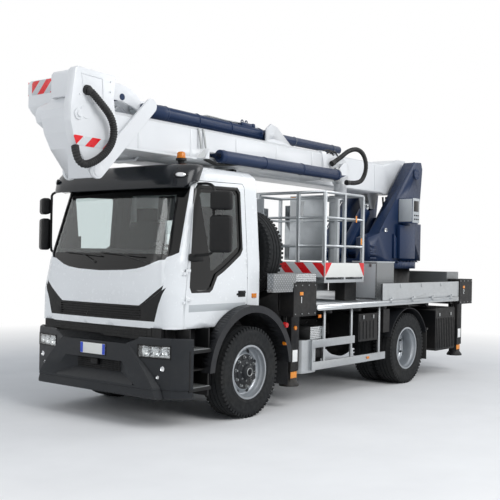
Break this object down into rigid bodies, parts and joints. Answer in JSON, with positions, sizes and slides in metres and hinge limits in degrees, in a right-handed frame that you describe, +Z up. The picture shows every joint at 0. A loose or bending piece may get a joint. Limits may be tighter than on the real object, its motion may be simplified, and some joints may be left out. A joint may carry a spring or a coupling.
{
  "type": "cherry picker truck",
  "caption": "Two-axle day-cab lorry with a slewing turret, a telescopic lower boom, a folded telescopic upper boom beside it, a work basket and four outriggers.",
  "frame": {"origin": "on the ground, in the middle of the vehicle's length and width", "axes": "+X forward, +Y to the vehicle's left, +Z up"},
  "size_m": [8.18, 3.0708, 3.5999],
  "materials": {
    "white_paint": "gloss enamel",
    "navy_paint": "gloss enamel",
    "grey_paint": "satin enamel",
    "chassis_paint": "satin chassis enamel",
    "boom_white": "gloss enamel",
    "silver_paint": "satin wheel enamel",
    "aluminium": "brushed",
    "checker_plate": "five-bar tread plate",
    "chrome_rod": "hard chrome",
    "tyre_rubber": "matte",
    "black_plastic": "textured",
    "visor_plastic": "tinted",
    "grey_plastic": "textured",
    "lamp_lens": "clear lens",
    "window_glass": "clear",
    "cab_trim": "seat cloth and moulded trim",
    "engine_iron": "as cast"
  },
  "bodies": {
    "truck": {"chassis_frame": "chassis_paint", "subframe": "chassis_paint", "engine": "engine_iron", "axles_and_springs": "chassis_paint", "cab_shell": "white_paint", "cab_glass": "window_glass", "grille": "black_plastic", "sun_visor": "visor_plastic", "cab_interior": "cab_trim", "front_bumper": "black_plastic", "lamps": "lamp_lens", "fenders": "grey_plastic", "entry_steps": "black_plastic", "spare_wheel": "tyre_rubber", "rests": "chassis_paint", "deck": "aluminium", "deck_lockers": "checker_plate", "under_deck_boxes": "black_plastic", "guards": "aluminium"},
    "front_wheel_left": {"front_tyre_left": "tyre_rubber", "front_rim_left": "silver_paint"},
    "rear_wheels_left": {"rear_tyres_left": "tyre_rubber", "rear_rims_left": "silver_paint"},
    "knuckle_left": {"steering_knuckle_left": "chassis_paint"},
    "cab_door_left": {"door_left": "white_paint", "door_glass_left": "window_glass", "mirror_left": "black_plastic"},
    "board_left": {"side_board_left": "grey_paint"},
    "front_wheel_right": {"front_tyre_right": "tyre_rubber", "front_rim_right": "silver_paint"},
    "rear_wheels_right": {"rear_tyres_right": "tyre_rubber", "rear_rims_right": "silver_paint"},
    "knuckle_right": {"steering_knuckle_right": "chassis_paint"},
    "cab_door_right": {"door_right": "white_paint", "door_glass_right": "window_glass", "mirror_right": "black_plastic"},
    "board_right": {"side_board_right": "grey_paint"},
    "outrigger_beam_front_left": {"beam_front_left": "chassis_paint"},
    "outrigger_leg_front_left": {"leg_front_left": "chassis_paint"},
    "outrigger_beam_front_right": {"beam_front_right": "chassis_paint"},
    "outrigger_leg_front_right": {"leg_front_right": "chassis_paint"},
    "outrigger_beam_rear_left": {"beam_rear_left": "chassis_paint"},
    "outrigger_leg_rear_left": {"leg_rear_left": "chassis_paint"},
    "outrigger_beam_rear_right": {"beam_rear_right": "chassis_paint"},
    "outrigger_leg_rear_right": {"leg_rear_right": "chassis_paint"},
    "turret": {"turret_frame": "navy_paint"},
    "lift_cylinder": {"lift_barrel": "navy_paint"},
    "lift_piston": {"lift_rod": "chrome_rod"},
    "lower_boom": {"lower_boom_outer": "boom_white"},
    "lower_extension": {"lower_boom_inner": "boom_white"},
    "upper_boom": {"upper_boom_outer": "boom_white"},
    "upper_extension": {"upper_boom_inner": "boom_white"},
    "fold_levers": {"fold_lever": "boom_white"},
    "fold_links": {"fold_link": "grey_paint"},
    "fold_cylinder": {"fold_barrel": "navy_paint"},
    "fold_piston": {"fold_rod": "chrome_rod"},
    "level_bracket": {"tip_bracket": "boom_white"},
    "work_basket": {"basket": "aluminium"}
  },
  "joints": [
    {"name": "steer_left", "type": "hinge", "parent": "truck", "child": "knuckle_left", "pos_m": [1.75, 0.88, 0.51], "axis": [0, 0, 1], "range_deg": [-40, 40]},
    {"name": "front_wheel_spin_left", "type": "hinge", "parent": "knuckle_left", "child": "front_wheel_left", "pos_m": [1.75, 1.0225, 0.51], "axis": [0, 1, 0], "continuous": true},
    {"name": "rear_wheels_spin_left", "type": "hinge", "parent": "truck", "child": "rear_wheels_left", "pos_m": [-1.94, 0.867, 0.51], "axis": [0, 1, 0], "continuous": true},
    {"name": "door_swing_left", "type": "hinge", "parent": "truck", "child": "cab_door_left", "pos_m": [2.747, 1.084, 1.33], "axis": [0, 0, -1], "range_deg": [0, 70]},
    {"name": "board_drop_left", "type": "hinge", "parent": "truck", "child": "board_left", "pos_m": [-2.27, 1.26, 1.24], "axis": [-1, 0, 0], "range_deg": [0, 170]},
    {"name": "steer_right", "type": "hinge", "parent": "truck", "child": "knuckle_right", "pos_m": [1.75, -0.88, 0.51], "axis": [0, 0, 1], "range_deg": [-40, 40]},
    {"name": "front_wheel_spin_right", "type": "hinge", "parent": "knuckle_right", "child": "front_wheel_right", "pos_m": [1.75, -1.0225, 0.51], "axis": [0, 1, 0], "continuous": true},
    {"name": "rear_wheels_spin_right", "type": "hinge", "parent": "truck", "child": "rear_wheels_right", "pos_m": [-1.94, -0.867, 0.51], "axis": [0, 1, 0], "continuous": true},
    {"name": "door_swing_right", "type": "hinge", "parent": "truck", "child": "cab_door_right", "pos_m": [2.747, -1.084, 1.33], "axis": [0, 0, 1], "range_deg": [0, 70]},
    {"name": "board_drop_right", "type": "hinge", "parent": "truck", "child": "board_right", "pos_m": [-2.27, -1.26, 1.24], "axis": [1, 0, 0], "range_deg": [0, 170]},
    {"name": "beam_out_front_left", "type": "slide", "parent": "truck", "child": "outrigger_beam_front_left", "axis": [0, 1, 0], "range_m": [0, 1]},
    {"name": "leg_down_front_left", "type": "slide", "parent": "outrigger_beam_front_left", "child": "outrigger_leg_front_left", "axis": [0, 0, -1], "range_m": [0, 0.45]},
    {"name": "beam_out_front_right", "type": "slide", "parent": "truck", "child": "outrigger_beam_front_right", "axis": [0, -1, 0], "range_m": [0, 1]},
    {"name": "leg_down_front_right", "type": "slide", "parent": "outrigger_beam_front_right", "child": "outrigger_leg_front_right", "axis": [0, 0, -1], "range_m": [0, 0.45]},
    {"name": "beam_out_rear_left", "type": "slide", "parent": "truck", "child": "outrigger_beam_rear_left", "axis": [0, 1, 0], "range_m": [0, 1]},
    {"name": "leg_down_rear_left", "type": "slide", "parent": "outrigger_beam_rear_left", "child": "outrigger_leg_rear_left", "axis": [0, 0, -1], "range_m": [0, 0.45]},
    {"name": "beam_out_rear_right", "type": "slide", "parent": "truck", "child": "outrigger_beam_rear_right", "axis": [0, -1, 0], "range_m": [0, 1]},
    {"name": "leg_down_rear_right", "type": "slide", "parent": "outrigger_beam_rear_right", "child": "outrigger_leg_rear_right", "axis": [0, 0, -1], "range_m": [0, 0.45]},
    {"name": "turret_slew", "type": "hinge", "parent": "truck", "child": "turret", "pos_m": [-3.05, 0, 1.7], "axis": [0, 0, 1], "range_deg": [-180, 180]},
    {"name": "boom_raise", "type": "hinge", "parent": "turret", "child": "lower_boom", "pos_m": [-3.4, 0, 3.2], "axis": [0, -1, 0], "range_deg": [0, 75]},
    {"name": "lift_cylinder_swing", "type": "hinge", "parent": "turret", "child": "lift_cylinder", "pos_m": [-2.05, 0, 1.9], "axis": [0, -1, 0], "range_deg": [-30, 5]},
    {"name": "lift_piston_out", "type": "slide", "parent": "lift_cylinder", "child": "lift_piston", "axis": [-0.6722, 0, 0.7404], "range_m": [0, 0.8]},
    {"name": "lower_boom_extend", "type": "slide", "parent": "lower_boom", "child": "lower_extension", "axis": [1, 0, 0], "range_m": [0, 2.6]},
    {"name": "upper_boom_unfold", "type": "hinge", "parent": "lower_extension", "child": "upper_boom", "pos_m": [3.9, 0, 3.15], "axis": [0, -1, 0], "range_deg": [0, 150]},
    {"name": "fold_lever_swing", "type": "hinge", "parent": "upper_boom", "child": "fold_levers", "pos_m": [3.63, 0, 2.62], "axis": [0, -1, 0], "range_deg": [-90, 5]},
    {"name": "fold_link_swing", "type": "hinge", "parent": "lower_extension", "child": "fold_links", "pos_m": [3.48, 0, 3.42], "axis": [0, -1, 0], "range_deg": [-5, 150]},
    {"name": "fold_cylinder_swing", "type": "hinge", "parent": "upper_boom", "child": "fold_cylinder", "pos_m": [0.7, 0, 3.33], "axis": [0, -1, 0], "range_deg": [-10, 20]},
    {"name": "fold_piston_out", "type": "slide", "parent": "fold_cylinder", "child": "fold_piston", "axis": [0.9999, 0, 0.0136], "range_m": [0, 0.95]},
    {"name": "upper_boom_extend", "type": "slide", "parent": "upper_boom", "child": "upper_extension", "axis": [-1, 0, 0], "range_m": [0, 2.2]},
    {"name": "basket_level", "type": "hinge", "parent": "upper_extension", "child": "level_bracket", "pos_m": [-1.04, 0.477, 3.06], "axis": [0, -1, 0], "range_deg": [-155, 20]},
    {"name": "basket_swing", "type": "hinge", "parent": "level_bracket", "child": "work_basket", "pos_m": [-1.14, 0.477, 2.735], "axis": [0, 0, 1], "range_deg": [-90, 90]}
  ],
  "couplings": [
    {"joint": "lift_cylinder_swing", "follows": "boom_raise", "ratio": -0.3316},
    {"joint": "lift_piston_out", "follows": "boom_raise", "m_per_rad": 0.5697},
    {"joint": "lower_boom_extend", "follows": "boom_raise", "m_per_rad": 1.528},
    {"joint": "upper_boom_unfold", "follows": "boom_raise", "ratio": 0.2},
    {"joint": "fold_lever_swing", "follows": "boom_raise", "ratio": -0.0855},
    {"joint": "fold_link_swing", "follows": "boom_raise", "ratio": 0.2318},
    {"joint": "fold_cylinder_swing", "follows": "boom_raise", "ratio": 0.0248},
    {"joint": "fold_piston_out", "follows": "boom_raise", "m_per_rad": 0.0683},
    {"joint": "upper_boom_extend", "follows": "boom_raise", "m_per_rad": 0.764},
    {"joint": "basket_level", "follows": "boom_raise", "ratio": -1.2},
    {"joint": "basket_swing", "follows": "boom_raise", "ratio": 0.8},
    {"joint": "steer_right", "follows": "steer_left", "ratio": 1}
  ]
}
